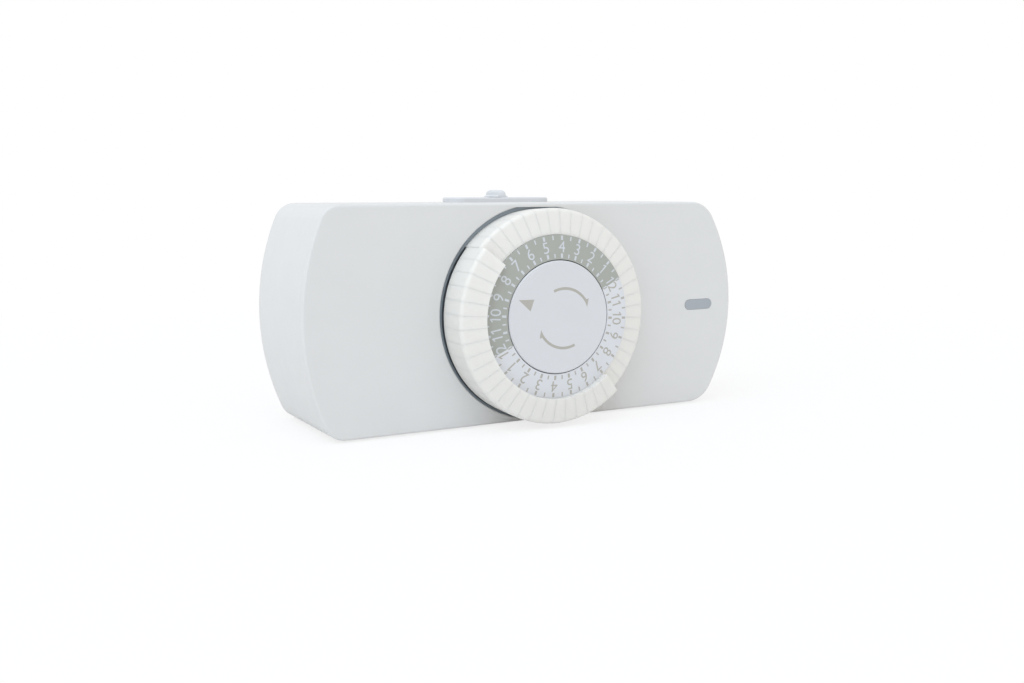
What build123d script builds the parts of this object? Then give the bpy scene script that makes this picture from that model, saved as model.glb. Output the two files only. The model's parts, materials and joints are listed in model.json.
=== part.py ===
from build123d import *
import math
import os

# Mechanical plug-in timer, in millimetres.
# X runs to the right seen from the front, Y from front to back, Z up.
# The origin is on the rear face, on the dial's axis, between the plug's blades.
# Depths are y values, so a part further forward has a smaller y.

# Cuts run PAST the face that they open, and a rib or boss has a LAP inside what carries it
PAST = 1.0
LAP = 0.5

# Gaps round a pressed piece, a turning one, one that is dropped in, and one that slides
SEAT_GAP = 0.02
RUNNING_GAP = 0.05
LOOSE_GAP = 0.1
SLIDE_GAP = 0.15

# Housing: WIDTH and HEIGHT are the front's, and the mould's DRAFT widens it towards the rear.
# Its mid-height is BODY_Z above the dial's axis.
WIDTH = 163.0
HEIGHT = 73.0
DEPTH = 48.0
DRAFT = 0.8
BODY_Z = 0.35
LEFT_BOW = 8.5
RIGHT_BOW = 11.8
LEFT_CORNER_RADIUS = 6.9
RIGHT_CORNER_RADIUS = 10.5
WALL = 2.2
RIM_WALL = 1.1
RIM_DEPTH = 2.5
FRONT_EDGE_RADIUS = 0.8
REAR_EDGE_CHAMFER = 0.4
FRONT_Y = -DEPTH
FRONT_INSIDE_Y = FRONT_Y + WALL
BOTTOM_Z = BODY_Z - HEIGHT / 2
TOP_Z = BODY_Z + HEIGHT / 2

# Dial well in the housing: round, and cut flat where it would break through the top or the bottom
WELL_RADIUS = 36.1
WELL_CHAMFER = 0.3
WELL_TOP_WALL = 1.25
WELL_BOTTOM_WALL = 0.95
COLLAR_RADIUS = 37.4
COLLAR_REAR_Y = -41.0

# Housing screws, and the columns and gussets that take them
SCREW_X = 69.0
SCREW_Z = 27.0
SCREW_RADIUS = 1.25
SCREW_LENGTH = 11.0
SCREW_HEAD_RADIUS = 2.8
SCREW_HEAD_HEIGHT = 1.5
SCREW_HEAD_REAR_Y = -0.2
SCREW_HOLE_GAP = 0.2
PILOT_RADIUS = 1.35
COLUMN_RADIUS = 3.4
COLUMN_REAR_Y = -RIM_DEPTH - LOOSE_GAP
GUSSET_LENGTH = 8.0
GUSSET_THICKNESS = 1.2
GUSSET_REAR_Y = -34.0

# Screw heads: the rim's chamfer and the recess's depth are shares of the head's height
HEAD_CHAMFER_SHARE = 0.35
RECESS_DEPTH_SHARE = 0.5
RECESS_SPAN_SHARE = 1.2
RECESS_WIDTH = 0.6

# Back plate
BACK_PLATE_THICKNESS = RIM_DEPTH - RUNNING_GAP
BACK_PLATE_GAP = 0.15
BACK_PLATE_CHAMFER = 0.3
PLUG_PAD_SIZE = (26.0, 27.0)
PLUG_PAD_CORNER = 3.0
PLUG_PAD_Z = 0.5
PLUG_PAD_FRONT_Y = -6.5

# Plug, the grounded 15 A pattern
BLADE_SPACING = 12.7
BLADE_WIDTH = 6.35
BLADE_THICKNESS = 1.5
BLADE_LENGTH = 18.0
BLADE_TIP_CHAMFER = 0.5
BLADE_HOLE_RADIUS = 1.55
BLADE_HOLE_FROM_TIP = 5.0
HOT_BLADE_INNER_Y = -7.6
GROUND_PIN_RADIUS = 2.38
GROUND_PIN_LENGTH = 21.0
GROUND_PIN_TIP_RADIUS = 1.9
PIN_COLLAR_RADIUS = 3.2
PIN_COLLAR_REAR_Y = -0.3
PIN_TAIL_RADIUS = 1.8
GROUND_OFFSET = 11.9
BLADE_Z = 6.0
GROUND_Z = BLADE_Z - GROUND_OFFSET

# Dial, whose scale stands half a tab clockwise of the vertical
HOURS = 24
TAB_COUNT = 2 * HOURS
TAB_ANGLE = 360 / TAB_COUNT
TAB_TRAVEL = 3.3
TAB_INNER_RADIUS = 26.9
TAB_OUTER_RADIUS = 34.9
TAB_LENGTH = 15.2
TAB_GAP = 0.12
TAB_CAP_THICKNESS = 3.0
TAB_SKIRT_THICKNESS = 1.9
TAB_EDGE_RADIUS = 2.2
PRESSED_FRONT_Y = FRONT_Y - 12.0
RAISED_FRONT_Y = PRESSED_FRONT_Y - TAB_TRAVEL
FIRST_RAISED_ANGLE = 142.5
LAST_RAISED_ANGLE = 307.5
FOOT_INNER_RADIUS = 28.9
FOOT_OUTER_RADIUS = 31.3
FOOT_WIDTH = 1.6
FOOT_LENGTH = 22.6
FOOT_CLEARANCE = 0.2
TOP_TICK_HOUR = 4
TOP_TICK_ANGLE = 86.25

# Dial carrier
FLANGE_RADIUS = 34.9
FLANGE_FRONT_Y = -43.0
FLANGE_REAR_Y = -41.0
DRUM_OUTER_RADIUS = 26.5
DRUM_INNER_RADIUS = 24.6
INNER_WALL_OUTER_RADIUS = 20.6
INNER_WALL_INNER_RADIUS = 19.2
CARRIER_FRONT_Y = PRESSED_FRONT_Y
HUB_RADIUS = 6.0
HUB_FRONT_Y = -55.0
CARRIER_RIBS = 8
CARRIER_RIB_THICKNESS = 1.2
CARRIER_RIB_FRONT_Y = -50.0

# Scale ring and centre cap
SCALE_FRONT_Y = FRONT_Y - 13.6
SCALE_INNER_RADIUS = 18.75
SCALE_OUTER_RADIUS = 26.75
SCALE_BEVEL = 0.25
SCALE_SPIGOT_DEPTH = 1.5
SCALE_SPIGOT_THICKNESS = 1.4
CAP_RADIUS = 18.45
CAP_FRONT_Y = FRONT_Y - 14.0
CAP_THICKNESS = 2.0
CAP_CHAMFER = 0.35
CAP_BOSS_RADIUS = 5.5
CAP_BOSS_REAR_Y = -56.6

# Centre post, the clip that holds the dial on it, and the clutch washer behind the dial
POST_RADIUS = 3.0
POST_SHOULDER_RADIUS = 4.5
POST_SHOULDER_FRONT_Y = -32.8
POST_SPIGOT_RADIUS = 2.5
POST_SPIGOT_FRONT_Y = -61.0
POST_STEP_Y = -56.4
POST_GROOVE_RADIUS = 2.4
POST_RIVET_RADIUS = 3.5
POST_RIVET_THICKNESS = 0.6
CLIP_REAR_Y = -55.1
CLIP_FRONT_Y = -55.9
CLIP_OUTER_RADIUS = 4.8
CLIP_OPENING = 3.6
WASHER_INNER_RADIUS = 3.15
WASHER_OUTER_RADIUS = 5.8
WASHER_THICKNESS = 0.3

# Mechanism plate, on four studs of the housing
PLATE_FRONT_Y = -28.0
PLATE_REAR_Y = -26.0
PLATE_TOP_Z = 32.5
PLATE_LOW_Z = -8.0
PLATE_RIGHT_X = 63.0
PLATE_LEFT_X = -65.0
PLATE_CORNER = 9.0
PLATE_SKIRT_HALF_WIDTH = 24.0
PLATE_SKIRT_Z = -22.0
PLATE_STUDS = [(-44.0, 29.0), (-50.0, -5.0), (60.0, 20.0), (50.0, -5.0)]
STUD_RADIUS = 2.6
SMALL_SCREW_RADIUS = 1.0
SMALL_PILOT_RADIUS = 1.1
SMALL_HEAD_RADIUS = 2.1
SMALL_HEAD_HEIGHT = 1.4
SMALL_SCREW_LENGTH = 8.0

# Gear train: the drive gear turns once a day
PRESSURE_ANGLE = 20.0
COARSE_MODULE = 0.8
FINE_MODULE = 0.7
DRIVE_TEETH = 60
PINION_TEETH = 10
WHEEL_TEETH = 40
WHEEL_FLANK_STEPS = 1
PINION_FLANK_STEPS = 3
WHEEL_ADDENDUM = 0.6
PINION_ADDENDUM = 1.0
ROOT_CLEARANCE = 0.3
TOOTH_THINNING = 0.08
DRIVE_FRONT_Y = -36.8
DRIVE_REAR_Y = -34.3
DRIVE_HUB_RADIUS = 7.0
DRIVE_HUB_FRONT_Y = -40.2
DRIVE_HUB_REAR_Y = -33.0
DRIVE_WEB_HOLES = 6
DRIVE_WEB_HOLE_RADIUS = 4.2
DRIVE_WEB_HOLE_CIRCLE = 15.0
AXLE_RADIUS = 1.0
AXLE_TIP = 0.1
SLEEVE_RADIUS = 2.2
SLEEVE_REAR_Y = -28.2
FIRST_GEAR_ANGLE = 35.0
SECOND_GEAR_ANGLE = 5.0
MOTOR_ANGLE = 215.0
FIRST_PINION_Y = (-36.9, -34.0)
FIRST_WHEEL_Y = (-33.6, -31.6)
SECOND_PINION_Y = (-33.9, -31.3)
SECOND_WHEEL_Y = (-31.0, -29.2)
MOTOR_PINION_Y = (-31.2, -29.0)
COARSE_DISTANCE = COARSE_MODULE * (DRIVE_TEETH + PINION_TEETH) / 2
FINE_DISTANCE = FINE_MODULE * (WHEEL_TEETH + PINION_TEETH) / 2

# Gear motor
MOTOR_RADIUS = 15.5
MOTOR_FRONT_Y = -25.8
MOTOR_REAR_Y = -12.0
MOTOR_CHAMFER = 1.0
MOTOR_BOSS_RADIUS = 4.0
MOTOR_BOSS_FRONT_Y = -28.4
MOTOR_SHAFT_RADIUS = 1.2
MOTOR_SHAFT_REAR_Y = -21.8
MOTOR_EAR_ANGLES = (200.0, 20.0)
MOTOR_EAR_DISTANCE = 18.4
MOTOR_EAR_RADIUS = 3.0
MOTOR_EAR_THICKNESS = 1.2
MOTOR_SCREW_LENGTH = 3.0

# Trip lever, which rocks about an upright pin between two arms of the mechanism plate
LEVER_Z = 10.3
LEVER_PIVOT_X = -62.0
LEVER_PIVOT_Y = -35.6
LEVER_FRONT_Y = -37.1
LEVER_REAR_Y = -34.9
LEVER_NOSE_X = (-31.5, -27.0)
LEVER_NOSE_STEP = 0.6
LEVER_NOSE_HALF_HEIGHT = 1.0
LEVER_HALF_HEIGHT = 3.0
LEVER_BARREL_RADIUS = 2.6
LEVER_BARREL_LENGTH = 8.0
LEVER_PIN_RADIUS = 1.0
LEVER_PIN_LENGTH = 15.0
LEVER_ARM_OFFSET = 6.2
LEVER_ARM_WIDTH = 5.0
LEVER_ARM_THICKNESS = 2.0
LEVER_ARM_REACH = 2.4

# Microswitch and its plunger
MICROSWITCH_X = (-58.0, -38.0)
MICROSWITCH_FRONT_Y = -32.0
MICROSWITCH_REAR_Y = -22.3
MICROSWITCH_HALF_THICKNESS = 3.2
PLUNGER_X = -50.0
PLUNGER_SIZE = (2.4, 1.6)
PLUNGER_FRONT_Y = -34.7
PLUNGER_REAR_Y = -29.5
PLUNGER_TRAVEL = 1.25
MICROSWITCH_TERMINALS_X = (-55.0, -48.0, -41.0)
TERMINAL_THICKNESS = 0.5
MICROSWITCH_TERMINAL_WIDTH = 3.2
MICROSWITCH_TERMINAL_LENGTH = 4.5

# Override switch on the top
OVERRIDE_X = 1.2
OVERRIDE_Y = FRONT_Y + 33.2
OVERRIDE_TRAVEL = 4.0
SWITCH_PLATE_LENGTH = 39.7
SWITCH_PLATE_WIDTH = 12.5
SWITCH_PLATE_THICKNESS = 1.7
SWITCH_PLATE_CORNER = 5.0
SWITCH_PLATE_CHAMFER = 0.4
KNOB_THICKNESS = 2.8
KNOB_WIDTH = 10.0
KNOB_HEIGHT = 2.6
KNOB_END_RADIUS = 1.8
KNOB_TOP_RADIUS = 1.25
KNOB_FOOT_HEIGHT = 0.25
KNOB_FLARE = 0.85
KNOB_FLARE_RADIUS = 0.8
KNOB_SKIRT_SIZE = (21.8, 8.0)
KNOB_SKIRT_THICKNESS = 0.65
KNOB_SKIRT_POCKET = 0.85
KNOB_STEM_SIZE = (2.4, 5.0)
KNOB_STEM_BOTTOM_Z = 31.5
OVERRIDE_BODY_SIZE = (21.0, 11.0)
OVERRIDE_BODY_HEIGHT = 10.0
OVERRIDE_TERMINAL_STEP = 6.0
OVERRIDE_TERMINAL_WIDTH = 2.4
OVERRIDE_TERMINAL_LENGTH = 4.0

# Lamp at the right of the front
LAMP_X = 67.0
LAMP_Z = BODY_Z - 0.6
LENS_LENGTH = 12.0
LENS_HEIGHT = 3.7
LENS_LIP = 1.0
LENS_LIP_THICKNESS = 1.0
LENS_PROUD = 0.1
LENS_HOLDER_RADIUS = 2.7
LENS_HOLDER_REAR_Y = -40.0
LENS_SOCKET_FRONT_Y = -45.0
LED_RADIUS = 1.5
LED_DOME_RADIUS = 1.35
LED_FLANGE_RADIUS = 1.9
LED_FLANGE_THICKNESS = 1.0
LED_LENGTH = 5.0
LED_LEG_OFFSET = 1.27
LED_LEG_THICKNESS = 0.5
LED_LEG_LENGTH = 8.0

# Outlets in the bottom, facing down
OUTLET_X = {"left": -48.0, "right": 48.0}
OUTLET_Y = -24.0
OUTLET_BODY = (33.0, 25.0)
OUTLET_FACE = (30.6, 22.6)
OUTLET_FACE_CORNER = 2.0
OUTLET_WINDOW_GAP = 0.1
OUTLET_TOP_Z = -10.5
OUTLET_FACE_THICKNESS = 3.2
OUTLET_RECESS = 0.3
BLADE_LINE_Y = OUTLET_Y - 5.5
GROUND_LINE_Y = BLADE_LINE_Y + GROUND_OFFSET
HOT_SLOT = (2.2, 7.0)
NEUTRAL_SLOT = (2.2, 8.5)
GROUND_HOLE_RADIUS = 2.65
CONTACT_POCKET = (5.4, 10.0)
GROUND_POCKET_RADIUS = 4.0

# Bus bars
STRIP = 0.8
ARM_WIDTH = 5.0
GROUND_ARM_WIDTH = 4.4
GROUND_ARM_START = 2.5
GROUND_SLEEVE_RADIUS = 3.3
ARM_TOP_Z = OUTLET_TOP_Z + 1.0
LEAF_THICKNESS = 0.6
LEAF_GAP = 1.7
LEAF_LENGTH = 15.0
LEAF_WIDTH = 6.0
STRIP_LOW_Z = -22.0
STRIP_HIGH_Z = -16.0
RISER_WIDTH = 6.0
GROUND_RISER_TOP_Z = GROUND_Z + 3.0
GROUND_STRIP_Y = -10.5
NEUTRAL_STRIP_Y = -8.0
LOAD_STRIP_Y = -5.0


def on_front(x, z):
    """A point at x, z on any plane that faces the front."""
    return Location((x, z))


def slab(sketch, rear_y, front_y):
    """A sketch drawn as seen from the front, made solid from rear_y forward to front_y."""
    return extrude(Plane.XZ.offset(-rear_y) * sketch, amount=rear_y - front_y)


def upright(sketch, low_z, high_z):
    """A sketch drawn as seen from above, made solid from low_z up to high_z."""
    return extrude(Plane.XY.offset(low_z) * sketch, amount=high_z - low_z)


def rod(radius, rear_y, front_y, x=0.0, z=0.0):
    return slab(on_front(x, z) * Circle(radius), rear_y, front_y)


def tube(outer, inner, rear_y, front_y, x=0.0, z=0.0):
    return rod(outer, rear_y, front_y, x, z) - rod(inner, rear_y + PAST, front_y - PAST, x, z)


def block(x_range, y_range, z_range):
    """A rectangular solid between two values on each axis."""
    sides = [abs(b - a) for a, b in (x_range, y_range, z_range)]
    middle = [(a + b) / 2 for a, b in (x_range, y_range, z_range)]
    return Pos(*middle) * Box(*sides)


def around(centre, length):
    return (centre - length / 2, centre + length / 2)


def turned(points):
    """A solid of revolution about the dial's axis, from radius and depth points."""
    return revolve(make_face(Polyline(*points, close=True)), axis=Axis.Y)


def about_dial(shape, degrees):
    """A shape drawn along +X, turned anticlockwise round the dial as seen from the front."""
    return Rot(0, -degrees, 0) * shape


def front_rim(shape):
    return shape.faces().sort_by(Axis.Y)[0].edges()


def rear_rim(shape):
    return shape.faces().sort_by(Axis.Y)[-1].edges()


def top_rim(shape):
    return shape.faces().sort_by(Axis.Z)[-1].edges()


def one(shape):
    """The single solid of a shape that has just one."""
    solids = shape.solids()
    assert len(solids) == 1, f"{len(solids)} solids where one was meant"
    return solids[0]


def polar(radius, degrees):
    angle = math.radians(degrees)
    return radius * math.cos(angle), radius * math.sin(angle)


def body_outline(inset=0.0):
    """The housing's outline seen from the front: flat top and bottom, bowed ends."""
    half_width = WIDTH / 2
    half_height = HEIGHT / 2
    left = -half_width + LEFT_BOW
    right = half_width - RIGHT_BOW
    face = make_face([
        Line((left, half_height), (right, half_height)),
        ThreePointArc((right, half_height), (half_width, 0), (right, -half_height)),
        Line((right, -half_height), (left, -half_height)),
        ThreePointArc((left, -half_height), (-half_width, 0), (left, half_height)),
    ])
    left_corners = face.vertices().sort_by(Axis.X)[:2]
    face = fillet(left_corners, LEFT_CORNER_RADIUS)
    right_corners = [v for v in face.vertices() if math.isclose(v.X, right, abs_tol=SEAT_GAP)]
    face = fillet(right_corners, RIGHT_CORNER_RADIUS)
    return on_front(0, BODY_Z) * offset(face, -inset)


def growth(y):
    """How far the draft has moved the housing's outline outwards at a depth."""
    return (y - FRONT_Y) * math.tan(math.radians(DRAFT))


def drafted(inset, rear_y, front_y):
    """The housing's outline, less an inset, made solid between two depths with the draft."""
    rear = Plane.XZ.offset(-rear_y) * body_outline(inset - growth(rear_y))
    return extrude(rear, amount=rear_y - front_y, taper=DRAFT)


def on_top(shape):
    """A shape drawn for a level top, tilted to stand on the drafted one."""
    return Pos(0, FRONT_Y, TOP_Z) * Rot(DRAFT, 0, 0) * Pos(0, -FRONT_Y, -TOP_Z) * shape


def screw_places():
    return [(sx * SCREW_X, BODY_Z + sz * SCREW_Z) for sx in (-1, 1) for sz in (-1, 1)]


def slide_slot(size, low_z, high_z):
    """The room that a part of the override knob needs over its whole travel."""
    return block(around(OVERRIDE_X, size[0] + 2 * OVERRIDE_TRAVEL + 2 * SLIDE_GAP),
                 around(OVERRIDE_Y, size[1] + 2 * SLIDE_GAP), (low_z, high_z))


def lens_outline(margin):
    """The lamp window's outline, grown by a margin all round."""
    return on_front(LAMP_X, LAMP_Z) * SlotOverall(LENS_LENGTH + 2 * margin, LENS_HEIGHT + 2 * margin)


def outlet_outline(centre_x, margin=0.0):
    width, depth = OUTLET_FACE
    return Pos(centre_x, OUTLET_Y) * RectangleRounded(width + 2 * margin, depth + 2 * margin,
                                                      OUTLET_FACE_CORNER + margin)


def gear_outline(teeth, module, addendum, root_depth, phase, steps):
    """An involute gear's outline, with one tooth centred at the angle phase."""
    pitch = teeth * module / 2
    pressure = math.radians(PRESSURE_ANGLE)
    base = pitch * math.cos(pressure)
    root = pitch - root_depth
    tip = pitch + addendum
    half_at_pitch = math.pi / (2 * teeth) - TOOTH_THINNING / (2 * pitch)

    def half_angle(radius):
        local = math.acos(min(1.0, base / radius))
        return half_at_pitch + math.tan(pressure) - pressure - math.tan(local) + local

    start = max(root, base)
    radii = [start + (tip - start) * i / steps for i in range(steps + 1)]
    if base > root:
        radii = [root] + radii
    flank = [(r, half_angle(max(r, start))) for r in radii]
    points = []
    for tooth in range(teeth):
        middle = math.radians(phase) + 2 * math.pi * tooth / teeth
        for radius, half in flank:
            points.append((radius * math.cos(middle - half), radius * math.sin(middle - half)))
        for radius, half in reversed(flank):
            points.append((radius * math.cos(middle + half), radius * math.sin(middle + half)))
    return make_face(Polyline(*points, close=True))


def wheel(teeth, module, phase, depths, centre):
    root_depth = (PINION_ADDENDUM + ROOT_CLEARANCE) * module
    sketch = gear_outline(teeth, module, WHEEL_ADDENDUM * module, root_depth, phase,
                          WHEEL_FLANK_STEPS)
    return slab(on_front(*centre) * sketch, depths[1], depths[0])


def pinion(module, phase, depths, centre):
    root_depth = (WHEEL_ADDENDUM + ROOT_CLEARANCE) * module
    sketch = gear_outline(PINION_TEETH, module, PINION_ADDENDUM * module, root_depth, phase,
                          PINION_FLANK_STEPS)
    return slab(on_front(*centre) * sketch, depths[1], depths[0])


def facing_phase(direction):
    """The angle that turns a pinion's gap towards the wheel that lies behind it."""
    return direction + 180 + 180 / PINION_TEETH


def stepped(start, distance, degrees):
    """The point at a distance and direction from another."""
    dx, dz = polar(distance, degrees)
    return start[0] + dx, start[1] + dz


DIAL_CENTRE = (0.0, 0.0)
FIRST_CENTRE = stepped(DIAL_CENTRE, COARSE_DISTANCE, FIRST_GEAR_ANGLE)
SECOND_CENTRE = stepped(FIRST_CENTRE, FINE_DISTANCE, SECOND_GEAR_ANGLE)
MOTOR_CENTRE = stepped(SECOND_CENTRE, FINE_DISTANCE, MOTOR_ANGLE)


def well():
    """What the dial's opening removes from the housing and its collar."""
    depths = (COLLAR_REAR_Y + PAST, FRONT_Y - PAST)
    hole = turned([(0, depths[0]), (WELL_RADIUS, depths[0]), (WELL_RADIUS, FRONT_Y + WELL_CHAMFER),
                   (WELL_RADIUS + WELL_CHAMFER + PAST, depths[1]), (0, depths[1])])
    between_flats = block(around(0, WIDTH), depths, (BOTTOM_Z + WELL_BOTTOM_WALL, TOP_Z - WELL_TOP_WALL))
    return Pos(0, 0, BODY_Z) * hole & between_flats


def housing():
    outer = drafted(0, 0, FRONT_Y)
    outer = fillet(front_rim(outer), FRONT_EDGE_RADIUS)
    outer = chamfer(rear_rim(outer), REAR_EDGE_CHAMFER)
    within_walls = drafted(WALL / 2, 0, FRONT_Y)
    shell = outer - drafted(WALL, PAST, FRONT_INSIDE_Y)
    shell -= slab(body_outline(RIM_WALL - growth(0)), PAST, -RIM_DEPTH)
    shell += rod(COLLAR_RADIUS, COLLAR_REAR_Y, FRONT_INSIDE_Y, 0, BODY_Z) & within_walls
    for x, z in screw_places():
        shell += rod(COLUMN_RADIUS, COLUMN_REAR_Y, FRONT_INSIDE_Y, x, z)
        gusset_x = x + math.copysign(GUSSET_LENGTH / 2, x)
        gusset = block(around(gusset_x, GUSSET_LENGTH), (GUSSET_REAR_Y, FRONT_INSIDE_Y),
                       around(z, GUSSET_THICKNESS))
        shell += gusset & within_walls
    for x, z in PLATE_STUDS:
        shell += rod(STUD_RADIUS, PLATE_FRONT_Y, FRONT_INSIDE_Y, x, z)
    shell -= well()
    for x, z in screw_places():
        shell -= rod(PILOT_RADIUS, PAST, -RIM_DEPTH - SCREW_LENGTH, x, z)
    for x, z in PLATE_STUDS:
        shell -= rod(SMALL_PILOT_RADIUS, PLATE_FRONT_Y + PAST, PLATE_FRONT_Y - SMALL_SCREW_LENGTH, x, z)
    shell -= slab(lens_outline(RUNNING_GAP), FRONT_INSIDE_Y + PAST, FRONT_Y - PAST)
    shell -= on_top(slide_slot(KNOB_STEM_SIZE, TOP_Z - WALL - PAST, TOP_Z + PAST))
    for x in OUTLET_X.values():
        shell -= upright(outlet_outline(x, OUTLET_WINDOW_GAP), BOTTOM_Z - PAST, BOTTOM_Z + WALL + PAST)
    return one(shell)


def back_plate():
    plate = slab(body_outline(RIM_WALL + BACK_PLATE_GAP - growth(0)), 0, -BACK_PLATE_THICKNESS)
    pad = on_front(0, PLUG_PAD_Z) * RectangleRounded(*PLUG_PAD_SIZE, PLUG_PAD_CORNER)
    plate += slab(pad, -BACK_PLATE_THICKNESS + LAP, PLUG_PAD_FRONT_Y)
    plate = chamfer(rear_rim(plate), BACK_PLATE_CHAMFER)
    for x, z in screw_places():
        plate -= rod(SCREW_RADIUS + SCREW_HOLE_GAP, PAST, -BACK_PLATE_THICKNESS - PAST, x, z)
        plate -= rod(SCREW_HEAD_RADIUS + SCREW_HOLE_GAP, PAST, SCREW_HEAD_REAR_Y - SCREW_HEAD_HEIGHT, x, z)
    through = (PLUG_PAD_FRONT_Y - PAST, PAST)
    for side in (-1, 1):
        plate -= block(around(side * BLADE_SPACING / 2, BLADE_THICKNESS + 2 * SEAT_GAP), through,
                       around(BLADE_Z, BLADE_WIDTH + 2 * SEAT_GAP))
    plate -= rod(PIN_COLLAR_RADIUS + SEAT_GAP, through[1], through[0], 0, GROUND_Z)
    return one(plate)


def pan_screw(place, head_rear_y, head_height, head_radius, shank_radius, length):
    """A screw whose head faces the rear, with a cross recess."""
    head_front_y = head_rear_y - head_height
    head = rod(head_radius, head_rear_y, head_front_y, *place)
    head = chamfer(rear_rim(head), head_height * HEAD_CHAMFER_SHARE)
    shank = rod(shank_radius, head_front_y, head_front_y - length, *place)
    span = head_radius * RECESS_SPAN_SHARE
    cross = Rectangle(span, RECESS_WIDTH) + Rectangle(RECESS_WIDTH, span)
    recess = slab(on_front(*place) * cross, head_rear_y + PAST,
                  head_rear_y - head_height * RECESS_DEPTH_SHARE)
    return one(head + shank - recess)


def small_screw(place, head_seat_y, length):
    """One of the screws inside, whose head sits on the face at head_seat_y."""
    return pan_screw(place, head_seat_y + SMALL_HEAD_HEIGHT, SMALL_HEAD_HEIGHT, SMALL_HEAD_RADIUS,
                     SMALL_SCREW_RADIUS, length)


def housing_screws():
    return [pan_screw(place, SCREW_HEAD_REAR_Y, SCREW_HEAD_HEIGHT, SCREW_HEAD_RADIUS, SCREW_RADIUS,
                      SCREW_LENGTH) for place in screw_places()]


def mechanism_screws():
    return [small_screw(place, PLATE_REAR_Y, SMALL_SCREW_LENGTH) for place in PLATE_STUDS]


def motor_ear_places():
    return [stepped(MOTOR_CENTRE, MOTOR_EAR_DISTANCE, degrees) for degrees in MOTOR_EAR_ANGLES]


def motor_screws():
    seat_y = MOTOR_FRONT_Y + MOTOR_EAR_THICKNESS
    return [small_screw(place, seat_y, MOTOR_SCREW_LENGTH) for place in motor_ear_places()]


def plug_blade(side, inner_y):
    """A flat blade with bevelled tip corners and the hole near its tip."""
    x = side * BLADE_SPACING / 2
    blade = block(around(x, BLADE_THICKNESS), (inner_y, BLADE_LENGTH), around(BLADE_Z, BLADE_WIDTH))
    blade = chamfer(rear_rim(blade), BLADE_TIP_CHAMFER)
    hole = Rot(0, 90, 0) * Cylinder(BLADE_HOLE_RADIUS, BLADE_THICKNESS + 2 * PAST)
    return one(blade - Pos(x, BLADE_LENGTH - BLADE_HOLE_FROM_TIP, BLADE_Z) * hole)


def plug_ground_pin():
    pin = rod(GROUND_PIN_RADIUS, GROUND_PIN_LENGTH, PIN_COLLAR_REAR_Y, 0, GROUND_Z)
    pin = fillet(rear_rim(pin), GROUND_PIN_TIP_RADIUS)
    pin += rod(PIN_COLLAR_RADIUS, PIN_COLLAR_REAR_Y, PLUG_PAD_FRONT_Y, 0, GROUND_Z)
    tail_front_y = GROUND_STRIP_Y + STRIP / 2
    return one(pin + rod(PIN_TAIL_RADIUS, PLUG_PAD_FRONT_Y, tail_front_y, 0, GROUND_Z))


def wedge(inner, outer, rear_y, front_y):
    """One tab's width of the dial between two radii, with flat sides."""
    slope = math.tan(math.radians(TAB_ANGLE / 2))
    near = inner * slope - TAB_GAP / 2
    far = outer * slope - TAB_GAP / 2
    outline = make_face(Polyline((inner, -near), (outer, -far), (outer, far), (inner, near), close=True))
    return slab(outline, rear_y, front_y)


def tab(degrees, front_y):
    """A captive segment: a front cap, an outer skirt, and a foot through the carrier."""
    cap_rear_y = front_y + TAB_CAP_THICKNESS
    cap = wedge(TAB_INNER_RADIUS, TAB_OUTER_RADIUS, cap_rear_y, front_y)
    skirt = wedge(TAB_OUTER_RADIUS - TAB_SKIRT_THICKNESS, TAB_OUTER_RADIUS, front_y + TAB_LENGTH,
                  front_y)
    body = cap + skirt
    body = fillet(front_rim(body).sort_by(Axis.X)[-1], TAB_EDGE_RADIUS)
    foot = block((FOOT_INNER_RADIUS, FOOT_OUTER_RADIUS), (cap_rear_y - LAP, front_y + FOOT_LENGTH),
                 around(0, FOOT_WIDTH))
    return one(about_dial(body + foot, degrees))


def is_raised(degrees):
    return FIRST_RAISED_ANGLE - TAB_ANGLE / 2 < degrees < LAST_RAISED_ANGLE + TAB_ANGLE / 2


def tab_nodes():
    """One node for an hour's two tabs, or one for each where the two stand differently."""
    nodes = {}
    for step in range(HOURS):
        first = TOP_TICK_ANGLE + TAB_ANGLE / 2 + step * 2 * TAB_ANGLE
        angles = [a % 360 for a in (first, first + TAB_ANGLE)]
        fronts = [RAISED_FRONT_Y if is_raised(a) else PRESSED_FRONT_Y for a in angles]
        solids = [tab(a, y) for a, y in zip(angles, fronts)]
        name = f"tabs_hour_{(step + TOP_TICK_HOUR) % HOURS:02d}"
        if fronts[0] == fronts[1]:
            nodes[name] = solids
        else:
            nodes[name + "_first"] = solids[:1]
            nodes[name + "_second"] = solids[1:]
    return nodes


def dial_carrier():
    bore = POST_RADIUS + RUNNING_GAP
    body = tube(HUB_RADIUS, bore, FLANGE_REAR_Y, HUB_FRONT_Y)
    body += tube(FLANGE_RADIUS, bore, FLANGE_REAR_Y, FLANGE_FRONT_Y)
    body += tube(DRUM_OUTER_RADIUS, DRUM_INNER_RADIUS, FLANGE_REAR_Y, CARRIER_FRONT_Y)
    body += tube(INNER_WALL_OUTER_RADIUS, INNER_WALL_INNER_RADIUS, FLANGE_REAR_Y, CARRIER_FRONT_Y)
    rib = block((HUB_RADIUS - LAP, INNER_WALL_INNER_RADIUS + LAP),
                (FLANGE_FRONT_Y + LAP, CARRIER_RIB_FRONT_Y), around(0, CARRIER_RIB_THICKNESS))
    for index in range(CARRIER_RIBS):
        body += about_dial(rib, index * 360 / CARRIER_RIBS)
    slot = block((FOOT_INNER_RADIUS - FOOT_CLEARANCE, FOOT_OUTER_RADIUS + FOOT_CLEARANCE),
                 (FLANGE_REAR_Y + PAST, FLANGE_FRONT_Y - PAST), around(0, FOOT_WIDTH + 2 * FOOT_CLEARANCE))
    slots = [about_dial(slot, index * TAB_ANGLE) for index in range(TAB_COUNT)]
    return one(body - slots)


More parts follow.
